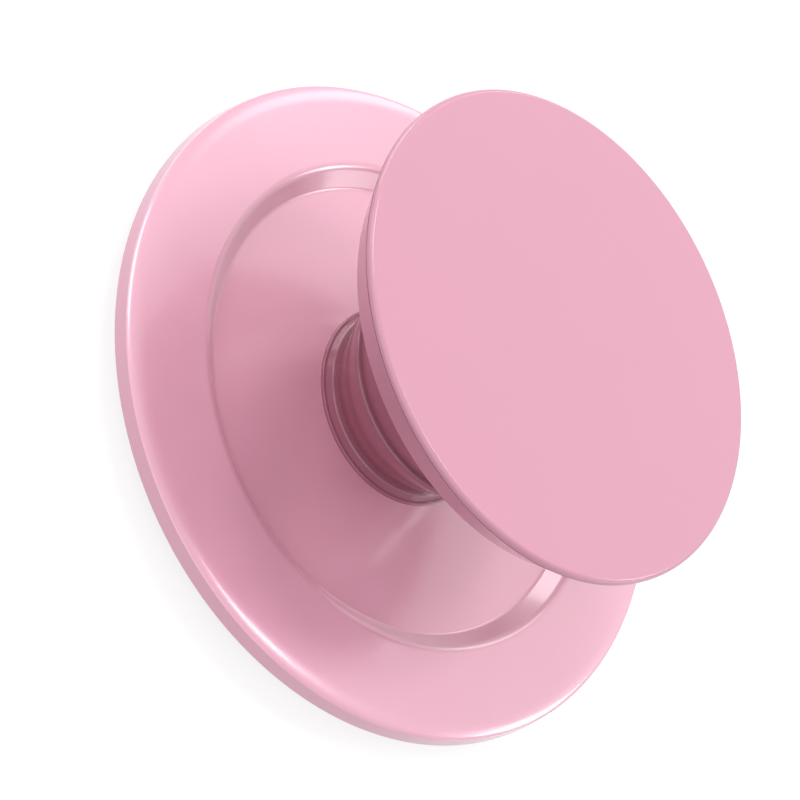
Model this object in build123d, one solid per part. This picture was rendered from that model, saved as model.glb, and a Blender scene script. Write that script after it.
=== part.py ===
from build123d import *

import os
from math import degrees

# Collapsible phone grip, pulled out as it is used. All sizes are in millimetres.
# The origin is the middle of the back face, which lies against the phone, and +Z runs up the
# grip's axis to the flat face of the top disc. Nearly every piece is turned about that axis.

# Base: a wide round cap with a ring of magnets inside and a shallow seat sunk into its top
base_radius = 28.45           # widest line of the rim
rim_draft = 0.22              # how much narrower the rim wall is at its top
rim_wall_height = 1.18        # straight part of the rim wall
shoulder_width = 1.6          # crowned edge of the top, measured along the radius
shoulder_drop = 0.27          # how far that edge falls to the rim wall
skirt_width = 0.6             # wall between the magnets and the outside, at its thinnest
roof_thickness = 1.0          # shell above the magnet ring
rim_edge_rounding = 0.18

# Seat: the sunken circle that takes the top disc when the grip is pressed flat
seat_gap = 0.55               # the seat's floor is this much smaller than the top disc
seat_depth = 1.6              # also the radius of the seat's rounded edge
seat_floor_thickness = 0.55   # shell over the accordion's foot flange

# Back of the base, from the phone outwards
pad_thickness = 0.5
pad_edge_rounding = 0.2
pad_inset = 0.4               # pad to back plate, along the radius
film_thickness = 0.12         # every bonding film
film_inset = 0.5              # film to the edge of the piece that it holds
plate_thickness = 0.7
plate_inset = 0.5             # back plate to the shell's lower edge, along the radius

# Magnet ring
magnet_count = 16
magnet_width = 3.4            # along the radius
magnet_thickness = 1.3
magnet_spacing = 0.3          # gap between neighbouring magnets, along the ring
yoke_thickness = 0.4
pocket_clearance = 0.1        # magnets and yoke to the walls of their channel

# Top disc: a thin flat plate on a tapered dish with a hollow underside
face_radius = 19.95
face_plate_thickness = 0.55
face_edge_rounding = 0.4      # edge of the flat face
face_foot_rounding = 0.1      # edge of the plate where it meets the dish
disc_thickness = 3.6          # from the flat face to the lip of the dish
travel = 16.0                 # how far the top disc moves between pulled out and pressed flat
flat_gap = 0.3                # from the lip to the seat's floor with the grip pressed flat
dish_taper = 1.67             # how much smaller the lip's radius is than the face's
dish_wall = 1.1
dish_lip_rounding = 0.3
dish_ceiling = 0.8

# Twist lock between the dish and the collar in the accordion's top end
collar_thickness = 1.5
collar_width = 4.0            # along the radius
ledge_thickness = 0.7         # ring of the collar that the lugs hook under
ledge_width = 1.4
lock_clearance = 0.1          # running gaps of the twist lock
boss_wall = 1.6
lug_clearance = 0.2           # lug tips to the wall of the collar's hollow
lug_root = 0.8                # how far the lugs run into the boss wall
lug_count = 2
lug_span = 50.0               # degrees that each lug covers
slot_margin = 4.0             # degrees of slack at each side of a lug in its slot
unlock_turn = 90.0            # degrees from locked to the slots

# Accordion: one soft moulded piece, stepped tiers that grow towards the top disc
foot_lip_radius = 8.65        # lip that shows on the seat's floor
foot_lip_thickness = 0.3
foot_flange_width = 2.6       # flange between the seat's floor and the back plate
neck_radius = 7.6             # where the accordion passes through the seat's floor
first_tier_foot_radius = 8.35  # the first tier narrows a little from here to its rim
first_tier_radius = 8.1
first_tier_height = 0.6
tier_count = 4
tier_growth = 1.85            # each tier's rim is this much wider than the one below
tier_step = 0.45              # ledge where the wall steps in above each rim
tier_groove = 0.12            # height of that step
tier_rim_rounding = 0.18
accordion_wall = 0.8
cuff_gap = 0.05               # bond line between the cuff and the collar
top_flange_thickness = 0.6

# Heights that follow, counted from the phone
plate_low = pad_thickness + film_thickness
channel_low = plate_low + plate_thickness
yoke_low = channel_low + magnet_thickness
roof_low = yoke_low + yoke_thickness
base_top = roof_low + roof_thickness
seat_floor = base_top - seat_depth
rim_wall_top = base_top - shoulder_drop
rim_wall_low = rim_wall_top - rim_wall_height
flange_top = seat_floor - seat_floor_thickness
lip_height = seat_floor + flat_gap + travel
face_height = lip_height + disc_thickness
face_plate_low = face_height - face_plate_thickness
ceiling_low = face_plate_low - dish_ceiling
collar_top = ceiling_low - lock_clearance
collar_low = collar_top - collar_thickness
ledge_low = collar_top - ledge_thickness

# Radii that follow
skirt_radius = base_radius - (rim_wall_low - channel_low)
channel_outer = skirt_radius - skirt_width
magnet_outer = channel_outer - pocket_clearance
magnet_inner = magnet_outer - magnet_width
channel_inner = magnet_inner - pocket_clearance
plate_radius = skirt_radius - plate_inset
pad_radius = plate_radius - pad_inset
seat_radius = face_radius - seat_gap
rim_wall_top_radius = base_radius - rim_draft
lip_radius = face_radius - dish_taper
tier_radius = [first_tier_radius + tier_growth * i for i in range(tier_count)]
top_flange_radius = tier_radius[-1]
collar_radius = top_flange_radius - accordion_wall - cuff_gap
collar_bore = collar_radius - collar_width
counterbore_radius = collar_bore + ledge_width
boss_radius = collar_bore - lock_clearance
lug_radius = counterbore_radius - lug_clearance


def turn(*edges):
    """Turns a closed outline once round the axis; x is the radius and y the height."""
    return revolve(Plane.XZ * make_face(Wire(edges_of(edges))), Axis.Z)


def edges_of(lines):
    """The single edges of some lines, in a flat list."""
    return [edge for line in lines for edge in line.edges()]


def outline(points):
    """A closed outline with rounded corners, from (radius, height, rounding) triples."""
    corners = [(x, y) for x, y, _ in points]
    return FilletPolyline(*corners, radius=[r for _, _, r in points], close=True)


def ring(inner, outer, low, high):
    """A plain flat ring, or a disc where the inner radius is 0."""
    disc = Pos(0, 0, low) * extrude(Circle(outer), high - low)
    if inner <= 0:
        return disc
    return disc - Pos(0, 0, low) * extrude(Circle(inner), high - low)


def ring_sector(inner, outer, low, high, start, span):
    """The stretch of a flat ring that runs from the angle start round through span degrees."""
    section = Pos((inner + outer) / 2, (low + high) / 2) * Rectangle(outer - inner, high - low)
    return Rot(0, 0, start) * revolve(Plane.XZ * section, Axis.Z, span)


def base_shell():
    """The moulded cap: rim, crowned shoulder, flat top, sunken seat and magnet channel."""
    flange_pocket = neck_radius + foot_flange_width + pocket_clearance
    seat_mouth = seat_radius + seat_depth
    quarter_turn = 90
    inside_and_rim = FilletPolyline(
        (neck_radius, seat_floor),
        (neck_radius, flange_top),
        (flange_pocket, flange_top),
        (flange_pocket, channel_low),
        (channel_inner, channel_low),
        (channel_inner, roof_low),
        (channel_outer, roof_low),
        (channel_outer, channel_low),
        (skirt_radius, channel_low),
        (base_radius, rim_wall_low),
        (rim_wall_top_radius, rim_wall_top),
        radius=[0, 0, 0, 0, 0, 0, 0, 0, rim_edge_rounding],
    )
    shoulder_start = rim_wall_top_radius - shoulder_width
    shoulder = EllipticalCenterArc(
        (shoulder_start, rim_wall_top), shoulder_width, shoulder_drop, arc_size=quarter_turn
    )
    flat_top = Line((shoulder_start, base_top), (seat_mouth, base_top))
    seat_edge = CenterArc((seat_mouth, seat_floor), seat_depth, quarter_turn, quarter_turn)
    floor = Line((seat_radius, seat_floor), (neck_radius, seat_floor))
    return turn(inside_and_rim, shoulder, flat_top, seat_edge, floor)


def back_plate():
    """The rigid plate that closes the magnet channel and clamps the accordion's flange."""
    return ring(0, plate_radius, plate_low, channel_low)


def soft_pad():
    """The soft round pad on the back, with a rounded edge towards the phone."""
    return turn(outline([
        (0, 0, 0),
        (pad_radius, 0, pad_edge_rounding),
        (pad_radius, pad_thickness, 0),
        (0, pad_thickness, 0),
    ]))


def pad_film():
    """The bonding film between the pad and the back plate."""
    return ring(0, pad_radius - film_inset, pad_thickness, plate_low)


def yoke_ring():
    """The flat steel ring that closes the magnets' field on the far side from the phone."""
    return ring(magnet_inner, magnet_outer, yoke_low, roof_low)


def magnet(index):
    """One arc magnet of the ring."""
    pitch = 360 / magnet_count
    spacing = degrees(magnet_spacing / ((magnet_inner + magnet_outer) / 2))
    start = index * pitch + spacing / 2
    return ring_sector(magnet_inner, magnet_outer, channel_low, yoke_low, start, pitch - spacing)


def accordion():
    """The soft stepped piece: foot flange, neck, lip, tiers and a cuff round the collar."""
    lip_top = seat_floor + foot_lip_thickness
    walls_top = collar_low - top_flange_thickness
    tier_height = (walls_top - lip_top - first_tier_height) / (tier_count - 1)
    flange_radius = neck_radius + foot_flange_width
    outside = [
        (neck_radius - accordion_wall, channel_low, 0),
        (flange_radius, channel_low, 0),
        (flange_radius, flange_top, 0),
        (neck_radius, flange_top, 0),
        (neck_radius, seat_floor, 0),
        (foot_lip_radius, seat_floor, 0),
        (foot_lip_radius, lip_top, foot_lip_thickness / 2),
        (first_tier_foot_radius, lip_top, 0),
    ]
    inside = [(first_tier_foot_radius - accordion_wall, lip_top, 0)]
    for i, rim in enumerate(tier_radius):
        high = lip_top + first_tier_height + tier_height * i
        last = i == tier_count - 1
        outside.append((rim, high, 0 if last else tier_rim_rounding))
        inside.append((rim - accordion_wall, high - accordion_wall, 0))
        if not last:
            outside.append((rim - tier_step, high + tier_groove, 0))
            inside.append((rim - tier_step - accordion_wall, high + tier_groove, 0))
    cuff_top = collar_top - lock_clearance
    outside += [
        (top_flange_radius, cuff_top, 0),
        (top_flange_radius - accordion_wall, cuff_top, 0),
        (top_flange_radius - accordion_wall, collar_low, 0),
        (counterbore_radius, collar_low, 0),
        (counterbore_radius, walls_top, 0),
    ]
    return turn(outline(outside + inside[::-1]))


def lug_place(index):
    """The angle at the middle of one lug when the top is locked."""
    return index * 360 / lug_count


def lock_collar():
    """The rigid ring in the accordion's top end, with two slots and the stops of the twist."""
    ledge = ring(collar_bore, collar_radius, ledge_low, collar_top)
    skirt = ring(counterbore_radius, collar_radius, collar_low, ledge_low)
    collar = ledge + skirt
    slot_span = lug_span + 2 * slot_margin
    stop_start = unlock_turn + lug_span / 2 + slot_margin
    stop_span = 360 / lug_count - lug_span / 2 - slot_margin - stop_start
    for i in range(lug_count):
        slot_start = lug_place(i) + unlock_turn - slot_span / 2
        collar -= ring_sector(
            collar_bore - lock_clearance, counterbore_radius, ledge_low, collar_top,
            slot_start, slot_span,
        )
        collar += ring_sector(
            collar_bore, counterbore_radius, collar_low, ledge_low,
            lug_place(i) + stop_start, stop_span,
        )
    return collar


def top_carrier():
    """The tapered dish of the top disc, with its hollow, its central boss and two lugs."""
    film_radius = face_radius - film_inset
    taper_height = face_plate_low - lip_height
    inner_slope = dish_taper / taper_height * (ceiling_low - lip_height)
    dish = turn(outline([
        (0, ceiling_low, 0),
        (lip_radius - dish_wall + inner_slope, ceiling_low, dish_wall / 2),
        (lip_radius - dish_wall, lip_height, 0),
        (lip_radius, lip_height, dish_lip_rounding),
        (face_radius, face_plate_low, 0),
        (film_radius, face_plate_low, 0),
        (film_radius, face_plate_low - film_thickness, 0),
        (0, face_plate_low - film_thickness, 0),
    ]))
    lug_top = ledge_low - lock_clearance
    boss_low = collar_low + lock_clearance
    boss = ring(boss_radius - boss_wall, boss_radius, boss_low, ceiling_low)
    carrier = dish + boss
    for i in range(lug_count):
        carrier += ring_sector(
            boss_radius - lug_root, lug_radius, boss_low, lug_top,
            lug_place(i) - lug_span / 2, lug_span,
        )
    return carrier


def face_film():
    """The bonding film in the shallow pocket under the face plate."""
    radius = face_radius - film_inset - lock_clearance
    return ring(0, radius, face_plate_low - film_thickness, face_plate_low)


def face_plate():
    """The thin flat plate on the top disc, with a rounded edge."""
    return turn(outline([
        (0, face_plate_low, 0),
        (face_radius, face_plate_low, face_foot_rounding),
        (face_radius, face_height, face_edge_rounding),
        (0, face_height, 0),
    ]))


def save(name, solid):
    """Writes one piece to its own file."""
    solid.label = name
    export_step(solid, f"parts/{name}.step")


os.makedirs("parts", exist_ok=True)
save("base_shell", base_shell())
save("back_plate", back_plate())
save("soft_pad", soft_pad())
save("pad_adhesive", pad_film())
save("yoke_ring", yoke_ring())
for number in range(magnet_count):
    save(f"magnet_{number + 1:02d}", magnet(number))
save("accordion", accordion())
save("lock_collar", lock_collar())
save("top_carrier", top_carrier())
save("face_adhesive", face_film())
save("face_plate", face_plate())
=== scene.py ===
from math import cos, pi, radians, sin, tan, tau

import bmesh
import bpy
import numpy as np
from mathutils import Matrix, Vector


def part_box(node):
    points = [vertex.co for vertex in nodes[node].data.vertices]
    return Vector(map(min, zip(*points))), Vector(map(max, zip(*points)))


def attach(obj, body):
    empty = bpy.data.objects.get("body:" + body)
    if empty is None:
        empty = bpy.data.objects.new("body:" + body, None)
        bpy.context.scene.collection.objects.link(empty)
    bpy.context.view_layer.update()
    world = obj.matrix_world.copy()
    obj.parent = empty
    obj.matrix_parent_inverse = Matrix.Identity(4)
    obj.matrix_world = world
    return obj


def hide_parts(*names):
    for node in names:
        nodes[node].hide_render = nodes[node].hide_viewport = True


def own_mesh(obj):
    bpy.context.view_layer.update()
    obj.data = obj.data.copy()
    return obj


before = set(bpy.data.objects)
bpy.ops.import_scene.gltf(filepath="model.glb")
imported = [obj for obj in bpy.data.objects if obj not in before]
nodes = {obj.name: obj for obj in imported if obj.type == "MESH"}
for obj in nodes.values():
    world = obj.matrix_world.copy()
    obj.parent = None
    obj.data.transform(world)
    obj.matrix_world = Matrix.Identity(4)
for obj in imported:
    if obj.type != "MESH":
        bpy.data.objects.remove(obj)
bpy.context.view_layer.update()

mm = 0.001   # sizes are written in millimetres, the scene is in metres


# Soft pad: the thin round pad on the back of the base, which lies against the phone. It is
# moulded from a soft rubbery plastic with a fine even grain, its edge on the phone's side is
# rounded, and a bonding film holds it to the back plate.
noise_middle = (0.3, 0.7)   # most of a noise texture's values lie between these
uneven_gloss = 0.03


def moulded(name, colour, roughness, tone=0.02, cloud=6.0, grain=0.12, depth=0.0, **gloss):
    """A moulded finish on Object coordinates. Noise of the size cloud, in mm, takes the colour
    from darker to lighter by the share tone, and noise of half that size takes the roughness
    up and down by uneven_gloss. Noise of the size grain, in mm, raises the surface by depth,
    in mm. The gloss values are constants of the shader, by their own names in lower case."""
    material = bpy.data.materials.new(name)
    material.use_nodes = True
    tree = material.node_tree
    shader = tree.nodes["Principled BSDF"]
    sockets = {socket.name.lower().replace(" ", "_"): socket for socket in shader.inputs}
    for word, value in gloss.items():
        sockets[word].default_value = value
    place = tree.nodes.new("ShaderNodeTexCoord")

    def noise(size, detail, low, high):
        node = tree.nodes.new("ShaderNodeTexNoise")
        node.inputs["Scale"].default_value = 1 / (size * mm)
        node.inputs["Detail"].default_value = detail
        tree.links.new(place.outputs["Object"], node.inputs["Vector"])
        spread = tree.nodes.new("ShaderNodeMapRange")
        spread.inputs["From Min"].default_value = noise_middle[0]
        spread.inputs["From Max"].default_value = noise_middle[1]
        spread.inputs["To Min"].default_value = low
        spread.inputs["To Max"].default_value = high
        tree.links.new(node.outputs["Fac"], spread.inputs["Value"])
        return spread.outputs["Result"]

    blend = tree.nodes.new("ShaderNodeMix")
    blend.data_type = "RGBA"
    darker, lighter = blend.inputs[6], blend.inputs[7]
    darker.default_value = (*[channel * (1 - tone) for channel in colour], 1)
    lighter.default_value = (*[min(1, channel * (1 + tone)) for channel in colour], 1)
    tree.links.new(noise(cloud, 6, 0, 1), blend.inputs[0])
    tree.links.new(blend.outputs[2], shader.inputs["Base Color"])
    gloss_clouds = noise(cloud / 2, 3, roughness - uneven_gloss, roughness + uneven_gloss)
    tree.links.new(gloss_clouds, shader.inputs["Roughness"])
    if depth:
        bump = tree.nodes.new("ShaderNodeBump")
        bump.inputs["Strength"].default_value = 1
        bump.inputs["Distance"].default_value = depth * mm
        tree.links.new(noise(grain, 2, 0, 1), bump.inputs["Height"])
        tree.links.new(bump.outputs["Normal"], shader.inputs["Normal"])
    return material


def finish(material, *pieces):
    """The pieces show this one finish all over."""
    for piece in pieces:
        piece.data.materials.clear()
        piece.data.materials.append(material)


pad_pink = (0.60, 0.27, 0.36)
finish(moulded("pad_rubber", pad_pink, 0.62, tone=0.05, grain=0.25, depth=0.02,
               specular_ior_level=0.35), nodes["soft_pad"])


# Bonding films: two thin clear films cut round, one between the pad and the back plate and
# one in the shallow pocket under the face plate. Both are pressed on and can't be seen.
film_clear = (0.80, 0.80, 0.77)
finish(moulded("bonding_film", film_clear, 0.35), nodes["pad_adhesive"], nodes["face_adhesive"])


# Back plate: the flat moulded plate that closes the magnet channel from the phone's side and
# clamps the accordion's foot flange. A narrow ring of it shows round the pad.
plate_pink = (0.60, 0.25, 0.35)
inner_plastic = moulded("inner_plastic", plate_pink, 0.45, tone=0.03, grain=0.2, depth=0.006)
finish(inner_plastic, nodes["back_plate"])


# Magnet ring: sixteen sintered arc magnets with a bright metal plating, and the flat steel
# ring behind them. They are glued into the base's channel before the back plate goes on.
plating = (0.62, 0.61, 0.58)
rolled_steel = (0.55, 0.56, 0.58)
plated = moulded("magnet_plating", plating, 0.3, tone=0.06, cloud=1.5, depth=0.004, metallic=1)
magnets = [node for name, node in nodes.items() if name.startswith("magnet_")]
finish(plated, *magnets)
finish(moulded("rolled_steel", rolled_steel, 0.35, tone=0.05, cloud=2, depth=0.003, metallic=1),
       nodes["yoke_ring"])


# Base cap: the wide round shell of the base, injection moulded from a hard plastic in satin
# pink. It has an upright rim, a crowned shoulder, a flat top and the sunken seat for the top
# disc, and it is turned here as one closed outline at a finer step than the part's own mesh.
def arc(centre, radii, start, end, steps):
    """Points on a stretch of an ellipse: the centre plus the two radii times the cosine and
    sine of angles that run evenly from start to end, in degrees."""
    angle = np.radians(np.linspace(start, end, steps + 1))
    return np.stack([centre[0] + radii[0] * np.cos(angle),
                     centre[1] + radii[1] * np.sin(angle)], 1)


def rounded(before, corner, after, radius, steps=8):
    """Points on the arc of that radius that touches both sides of a corner. Its centre lies on
    the line that halves the corner, radius over the sine of half its angle away, and the
    points are that centre plus the radius along directions that turn evenly between the two
    sides' normals."""
    corner = np.asarray(corner, float)
    back = np.asarray(before, float) - corner
    ahead = np.asarray(after, float) - corner
    back, ahead = back / np.hypot(*back), ahead / np.hypot(*ahead)
    half_angle = np.arccos(np.clip(back @ ahead, -1, 1)) / 2
    middle = (back + ahead) / np.hypot(*(back + ahead))
    centre = corner + middle * radius / np.sin(half_angle)
    first = corner + back * radius / np.tan(half_angle) - centre
    last = corner + ahead * radius / np.tan(half_angle) - centre
    share = np.linspace(0, 1, steps + 1)[:, None]
    turn = pi - 2 * half_angle
    along = np.sin((1 - share) * turn) * first + np.sin(share * turn) * last
    return centre + along / np.sin(turn)


def outline(*stretches, spacing=0.6, border=0.03):
    """A closed outline of (radius, height) points in millimetres, from points and arcs in
    order, with the solid on its left. A straight side gets extra points about spacing apart,
    and one a border in from each end, which keeps the shading of flat faces flat."""
    corners = np.concatenate([np.atleast_2d(np.asarray(s, float)) for s in stretches])
    points = []
    for here, ahead in zip(corners, np.roll(corners, -1, 0)):
        length = np.hypot(*(ahead - here))
        if length < 3 * border:   # too short for a point in from each end
            points.append(here[None])
            continue
        inner = np.linspace(border, length - border, max(2, int(length / spacing)))
        share = np.concatenate([[0], inner]) / length
        points.append(here + share[:, None] * (ahead - here))
    return np.concatenate(points)


same_place = 1e-7   # in metres: points closer than this are one
sharp_angle = radians(35)


def turned(name, line, around=256):
    """Turns a closed outline round the axis: a grid whose rows are the outline's points and
    whose columns are even angles, with x and y the radius times the cosine and sine. Points
    on the axis become one point."""
    line = line * mm
    angle = np.linspace(0, tau, around, endpoint=False)
    radius, height = line[:, 0], line[:, 1]
    co = np.stack([radius[:, None] * np.cos(angle), radius[:, None] * np.sin(angle),
                   np.broadcast_to(height[:, None], (len(line), around))], 2).reshape(-1, 3)
    row = np.arange(len(line))[:, None] * around
    ahead = np.roll(np.arange(len(line)), -1)[:, None] * around
    column, beside = np.arange(around), np.roll(np.arange(around), -1)
    quads = np.stack([row + column, row + beside, ahead + beside, ahead + column], 2)
    on_axis = (radius < same_place) & (np.roll(radius, -1) < same_place)
    mesh = bpy.data.meshes.new(name)
    mesh.from_pydata(co, [], quads[~on_axis].reshape(-1, 4).tolist())
    return placed(mesh, merge=on_axis.any())


def placed(mesh, merge=False):
    """The mesh as a piece at the origin, smooth but for its sharp edges, merged if asked."""
    if merge:
        work = bmesh.new()
        work.from_mesh(mesh)
        bmesh.ops.remove_doubles(work, verts=work.verts, dist=same_place)
        work.to_mesh(mesh)
        work.free()
    mesh.shade_smooth()
    mesh.set_sharp_from_angle(angle=sharp_angle)
    piece = bpy.data.objects.new(mesh.name, mesh)
    bpy.context.scene.collection.objects.link(piece)
    return piece


channel_low, base_top = (corner.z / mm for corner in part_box("base_shell"))
rim_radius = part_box("base_shell")[1].x / mm
roof_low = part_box("yoke_ring")[1].z / mm
rim_draft, rim_wall_height, rim_rounding = 0.22, 1.18, 0.18
shoulder_width, shoulder_drop = 1.6, 0.27
seat_radius, seat_depth = 19.4, 1.6
seat_slope, seat_rounding, seat_fillet = radians(48), 1.1, 0.5
skirt_radius = 27.2
channel_inner, channel_outer = 23.0, 26.6
neck_radius, flange_top, flange_pocket = 7.6, 1.87, 10.3

seat_floor = base_top - seat_depth
wall_top = base_top - shoulder_drop
skirt_foot = (skirt_radius, channel_low)
wall_foot = (rim_radius, wall_top - rim_wall_height)
wall_head = (rim_radius - rim_draft, wall_top)
shoulder_middle = (wall_head[0] - shoulder_width, wall_top)
flat_outer = (shoulder_middle[0], base_top)
slope_head = (seat_radius + seat_depth / tan(seat_slope), base_top)
slope_foot = (seat_radius, seat_floor)
floor_inner = (neck_radius, seat_floor)
base_cap = turned("base_cap", outline(
    [(neck_radius, flange_top), (flange_pocket, flange_top), (flange_pocket, channel_low),
     (channel_inner, channel_low), (channel_inner, roof_low), (channel_outer, roof_low),
     (channel_outer, channel_low), skirt_foot],
    rounded(skirt_foot, wall_foot, wall_head, rim_rounding),
    arc(shoulder_middle, (shoulder_width, shoulder_drop), 0, 90, steps=40),
    rounded(flat_outer, slope_head, slope_foot, seat_rounding, steps=24),
    rounded(slope_head, slope_foot, floor_inner, seat_fillet),
    [floor_inner],
), around=360)


def hard_satin(name, colour):
    """The finish of the hard plastic: an almost even pink under a clear, slightly soft gloss."""
    return moulded(name, colour, 0.38, tone=0.012, depth=0.0008, metallic=0.1,
                   specular_ior_level=0.6, coat_weight=1.0, coat_roughness=0.16, coat_ior=1.65)


# base_pink_lit is partly painted light: the pink made lighter, so that the flat top and the
# seat, in the top disc's shade, still render at the pink's tone.
base_pink_lit = (0.77, 0.37, 0.49)
finish(hard_satin("base_satin", base_pink_lit), base_cap)
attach(base_cap, "base")
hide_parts("base_shell")


# Accordion: one moulded piece of soft plastic that grows in steps from a grommet foot, which
# is buttoned into the seat's floor, to a cuff bonded round the lock collar. Three meshes show
# it: the foot and the tiers ride with the base, and the cuff travels with the collar.
soft_wall = 0.8
foot_flange = 10.2
lip_radius, lip_thickness = 8.65, 0.3
first_foot, first_rim, first_height = 8.35, 8.1, 0.6
tier_count, tier_growth, tier_ledge, tier_groove = 4, 1.85, 0.45, 0.12
tier_rounding = 0.3
tiers_top = 18.77
cuff_bore = 10.2
cuff_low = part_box("lock_collar")[0].z / mm
cuff_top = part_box("accordion")[1].z / mm

lip_top = seat_floor + lip_thickness
tier_height = (tiers_top - lip_top - first_height) / (tier_count - 1)
# shaded_soft_pink is painted shade: the parts' pink made much darker and deeper, for the shade
# the accordion sits in under the top disc.
shaded_soft_pink = (0.31, 0.10, 0.15)
shaded_soft_satin = moulded("accordion_soft", shaded_soft_pink, 0.5, tone=0.02, depth=0.0015,
                     specular_ior_level=0.2, coat_weight=0.9, coat_roughness=0.08)

accordion_foot = turned("accordion_foot", outline(
    [(neck_radius - soft_wall, channel_low), (foot_flange, channel_low),
     (foot_flange, flange_top), (neck_radius, flange_top), floor_inner,
     (lip_radius, seat_floor)],
    rounded((lip_radius, seat_floor), (lip_radius, lip_top), (first_foot, lip_top),
            lip_thickness / 2),
    [(first_foot - soft_wall, lip_top)],
))

outer = [(first_foot, lip_top)]
inner = [(first_foot - soft_wall, lip_top)]
for tier in range(tier_count):
    rim = first_rim + tier_growth * tier
    high = lip_top + first_height + tier_height * tier
    outer.append((rim, high))
    inner.append((rim - soft_wall, high - soft_wall))
    if tier < tier_count - 1:
        outer.append((rim - tier_ledge, high + tier_groove))
        inner.append((rim - tier_ledge - soft_wall, high + tier_groove))
inner[-1] = (inner[-1][0], tiers_top)   # a flat end, on which the cuff stands
outside = [outer[:1]]
for before, corner, after in zip(outer, outer[1:], outer[2:]):
    at_rim = after[0] < corner[0]
    outside.append(rounded(before, corner, after, tier_rounding) if at_rim else [corner])
accordion_tiers = turned("accordion_tiers",
                         outline(*outside, outer[-1:], inner[::-1]), around=320)

cuff_radius = outer[-1][0]
accordion_cuff = turned("accordion_cuff", outline([
    (cuff_bore, tiers_top), (cuff_radius, tiers_top), (cuff_radius, cuff_top),
    (cuff_radius - soft_wall, cuff_top), (cuff_radius - soft_wall, cuff_low),
    (cuff_bore, cuff_low),
]))

for piece, body in ((accordion_foot, "base"), (accordion_tiers, "base"),
                    (accordion_cuff, "collar")):
    finish(shaded_soft_satin, piece)
    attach(piece, body)
    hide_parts("accordion")
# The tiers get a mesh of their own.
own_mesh(accordion_tiers)


# Lock collar: the rigid ring bonded into the accordion's cuff. The top's two lugs pass its
# slots, turn under its ledge and hold. It is moulded from the same plastic as the back plate.
finish(inner_plastic, nodes["lock_collar"])


# Top dish: the tapered carrier of the top disc, injection moulded in the base's satin pink,
# which is painted darker here as shade. It is hollow underneath, and its central boss carries
# two lugs for the twist lock.
face_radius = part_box("face_plate")[1].x / mm
plate_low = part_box("face_plate")[0].z / mm
dish_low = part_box("top_carrier")[0].z / mm
dish_lip_radius, dish_lip_rounding = 18.28, 0.3
dish_wall, dish_ceiling = 1.1, 20.97
film_pocket_radius = 19.45
film_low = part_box("face_adhesive")[0].z / mm
boss_inner, boss_outer, boss_low = 7.1, 8.7, 19.47

dish_outer_foot = (dish_lip_radius, dish_low)
dish_outer_head = (face_radius, plate_low)
dish_inner_foot = (dish_lip_radius - dish_wall, dish_low)
flare = (face_radius - dish_lip_radius) / (plate_low - dish_low)
dish_inner_head = (dish_inner_foot[0] + flare * (dish_ceiling - dish_low), dish_ceiling)
top_dish = turned("top_dish", outline(
    [(0, dish_ceiling), (boss_inner, dish_ceiling), (boss_inner, boss_low),
     (boss_outer, boss_low), (boss_outer, dish_ceiling)],
    rounded((boss_outer, dish_ceiling), dish_inner_head, dish_inner_foot, dish_wall / 2),
    [dish_inner_foot],
    rounded(dish_inner_foot, dish_outer_foot, dish_outer_head, dish_lip_rounding),
    [dish_outer_head, (film_pocket_radius, plate_low), (film_pocket_radius, film_low),
     (0, film_low)],
), around=360)


def lug(name, inside, outside, low, high, middle, span, steps=24):
    """One lug: a stretch of a flat ring. Its section is the four corners of a rectangle in
    (radius, height), carried round through span degrees about the angle middle, with x and y
    the radius times the cosine and sine, and closed by a face at each end."""
    angle = np.radians(np.linspace(middle - span / 2, middle + span / 2, steps + 1))[:, None]
    radius = np.array([inside, outside, outside, inside]) * mm
    height = np.array([low, low, high, high]) * mm
    co = np.stack([radius * np.cos(angle), radius * np.sin(angle),
                   np.broadcast_to(height, (steps + 1, 4))], 2).reshape(-1, 3)
    step, corner = np.arange(steps)[:, None] * 4, np.arange(4)
    beside = np.roll(corner, -1)
    sides = np.stack([step + corner, step + 4 + corner, step + 4 + beside, step + beside], 2)
    ends = [[0, 1, 2, 3], [4 * steps + 3, 4 * steps + 2, 4 * steps + 1, 4 * steps]]
    mesh = bpy.data.meshes.new(name)
    mesh.from_pydata(co, [], sides.reshape(-1, 4).tolist() + ends)
    work = bmesh.new()
    work.from_mesh(mesh)
    bmesh.ops.recalc_face_normals(work, faces=work.faces)
    work.to_mesh(mesh)
    work.free()
    return placed(mesh)


lug_root, lug_radius, lug_top = 7.9, 10.0, 20.07
lug_count, lug_span = 2, 50   # the span in degrees
lugs = [lug(f"lock_lug_{i + 1}", lug_root, lug_radius, boss_low, lug_top,
            360 / lug_count * i, lug_span) for i in range(lug_count)]
# dish_pink_shaded is painted shade: a darker copy of the base's pink, for the shade on the
# dish's tapered wall under the face plate.
dish_pink_shaded = (0.56, 0.25, 0.34)
dish_satin = hard_satin("dish_satin", dish_pink_shaded)
for piece in (top_dish, *lugs):
    finish(dish_satin, piece)
    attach(piece, "top")
    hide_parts("top_carrier")


# Face plate: the thin flat plate that closes the top disc, moulded in the same pink, painted a
# little darker here as shade, with a smooth satin face and a rounded edge. It is bonded down on
# the dish, with a fine joint line.
face_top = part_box("face_plate")[1].z / mm
face_foot_rounding, face_edge_rounding = 0.1, 0.4
face_foot, face_head = (face_radius, plate_low), (face_radius, face_top)
face = turned("face_cover", outline(
    [(0, plate_low)],
    rounded((0, plate_low), face_foot, face_head, face_foot_rounding, steps=4),
    rounded(face_foot, face_head, (0, face_top), face_edge_rounding, steps=12),
    [(0, face_top)],
), around=360)
# face_pink_shaded is painted shade: a slightly darker copy of the base's pink, which brings the
# face down to the tone the base shows under this light.
face_pink_shaded = (0.61, 0.265, 0.365)
face_satin = moulded("face_satin", face_pink_shaded, 0.45, tone=0.006, depth=0.0005,
                     coat_weight=0.6, coat_roughness=0.16)
finish(face_satin, face)
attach(face, "top")
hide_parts("face_plate")


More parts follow.
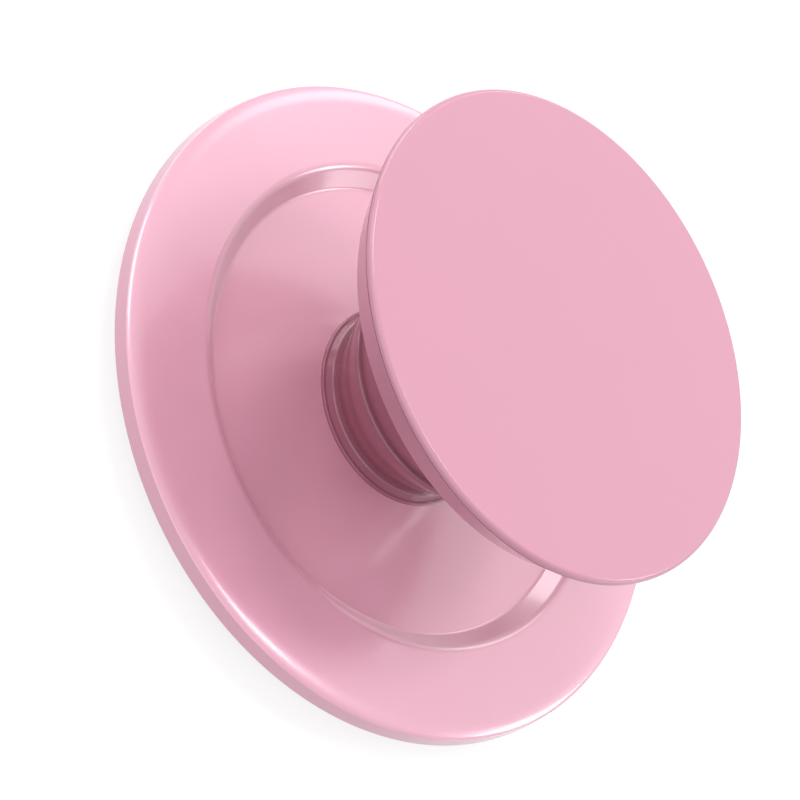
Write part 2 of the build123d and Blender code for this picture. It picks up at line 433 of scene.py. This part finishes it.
# Floor: a wide sheet of plain pale board under the grip. To the camera and in reflections it
# glows up to white, so only the soft shadow round the foot of the base is darker.
floor_size = 4.0   # in metres
floor_glow, floor_grey = 0.78, 0.25
corners = np.array([(-1, -1, 0), (1, -1, 0), (1, 1, 0), (-1, 1, 0)]) * floor_size / 2
board = bpy.data.meshes.new("floor")
board.from_pydata(corners, [], [(0, 1, 2, 3)])
floor = bpy.data.objects.new("floor", board)
bpy.context.scene.collection.objects.link(floor)
floor_white = moulded("floor_board", (floor_grey,) * 3, 0.8, tone=0.01, cloud=80)


def direct(tree, away, straight):
    """A strength that is straight for rays from the camera, off a gloss or through glass, and
    away for the rays that light the object."""
    path = tree.nodes.new("ShaderNodeLightPath")
    seen = path.outputs["Is Camera Ray"]
    for kind in ("Is Glossy Ray", "Is Transmission Ray"):
        either = tree.nodes.new("ShaderNodeMath")
        either.operation = "MAXIMUM"
        tree.links.new(seen, either.inputs[0])
        tree.links.new(path.outputs[kind], either.inputs[1])
        seen = either.outputs[0]
    strength = tree.nodes.new("ShaderNodeMath")
    strength.operation = "MULTIPLY_ADD"
    strength.inputs[1].default_value = straight - away
    strength.inputs[2].default_value = away
    tree.links.new(seen, strength.inputs[0])
    return strength.outputs[0]


tree = floor_white.node_tree
shader = tree.nodes["Principled BSDF"]
shader.inputs["Emission Color"].default_value = (1, 1, 1, 1)
tree.links.new(direct(tree, away=0, straight=floor_glow), shader.inputs["Emission Strength"])
finish(floor_white, floor)


# Camera: a long lens that looks down on the grip at the photograph's angle, with the grip's
# axis leaning up to the right in the picture.
view_angle = radians(45.64)   # between the line of sight and the grip's axis
roll = radians(24.59)         # how far the axis leans from level in the picture
distance = 167.0 * mm         # from the camera to the middle of the seat's floor
focal = 2000                  # in pixels of the 800-pixel picture
frame_pixels = 800
seat_pixel = (401.9, 406.0)   # where the middle of the seat's floor lies in the picture
seat_middle = Vector((0, 0, seat_floor * mm))
across = Vector((-sin(roll), cos(roll), 0))
axis = Vector((sin(view_angle) * cos(roll), sin(view_angle) * sin(roll), cos(view_angle)))
to_camera = Matrix((across, axis.cross(across), axis)).transposed()
half = frame_pixels / 2
offset = Vector(((seat_pixel[0] - half) * distance / focal,
                 (half - seat_pixel[1]) * distance / focal, -distance))
camera = bpy.data.objects.new("camera", bpy.data.cameras.new("camera"))
bpy.context.scene.collection.objects.link(camera)
camera.matrix_world = (Matrix.Translation(seat_middle - to_camera.transposed() @ offset)
                       @ to_camera.transposed().to_4x4())
camera.data.sensor_width = 36
camera.data.lens = focal / frame_pixels * camera.data.sensor_width
camera.data.clip_start = 0.005
bpy.context.scene.camera = camera


# Light: an even white room, a broad softbox behind the camera, a dim panel opposite it, and
# small softboxes round the sides and back, some low and some high. Their reflections draw the
# bright lines on the rim and on the slope of the seat.
lamp_distance = 1.5   # in metres, from the middle of the seat's floor


def softbox(name, azimuth, elevation, wide, high, brightness):
    """A flat lamp that faces the grip from that direction. Wide and high are the angles it
    fills as the grip sees it, in degrees, and brightness 1 is that of a white wall."""
    light = bpy.data.lights.new(name, "AREA")
    light.shape = "RECTANGLE"
    light.size = 2 * lamp_distance * tan(radians(wide / 2))
    light.size_y = 2 * lamp_distance * tan(radians(high / 2))
    light.energy = brightness * pi * light.size * light.size_y
    turn, lift = radians(azimuth), radians(elevation)
    toward = Vector((cos(lift) * cos(turn), cos(lift) * sin(turn), sin(lift)))
    side = Vector((0, 0, 1)).cross(toward).normalized()
    lamp = bpy.data.objects.new(name, light)
    bpy.context.scene.collection.objects.link(lamp)
    lamp.matrix_world = (Matrix.Translation(toward * lamp_distance + seat_middle)
                         @ Matrix((side, toward.cross(side), toward)).transposed().to_4x4())
    lamp.visible_camera = False


softbox("front_fill", azimuth=90, elevation=44, wide=76, high=50, brightness=1.15)
softbox("back_panel", azimuth=272, elevation=33, wide=56, high=26, brightness=0.5)
softbox("back_left", azimuth=233, elevation=36, wide=12, high=14, brightness=8)
softbox("low_left", azimuth=206, elevation=12, wide=26, high=16, brightness=2.5)
softbox("back_right_strip", azimuth=290.5, elevation=33, wide=8, high=24, brightness=3)
softbox("high_right", azimuth=340, elevation=58, wide=15, high=17, brightness=9)
softbox("low_right", azimuth=345, elevation=14, wide=34, high=22, brightness=4)
softbox("right_column", azimuth=17, elevation=28, wide=9, high=52, brightness=2.5)
softbox("high_back", azimuth=260, elevation=63, wide=14, high=9, brightness=11)

room_brightness = 0.42
world = bpy.data.worlds.new("studio")
bpy.context.scene.world = world
world.use_nodes = True
tree = world.node_tree
room = tree.nodes["Background"]
room.inputs["Color"].default_value = (1, 1, 1, 1)
tree.links.new(direct(tree, away=room_brightness, straight=1), room.inputs["Strength"])
bpy.context.scene.view_settings.view_transform = "Standard"
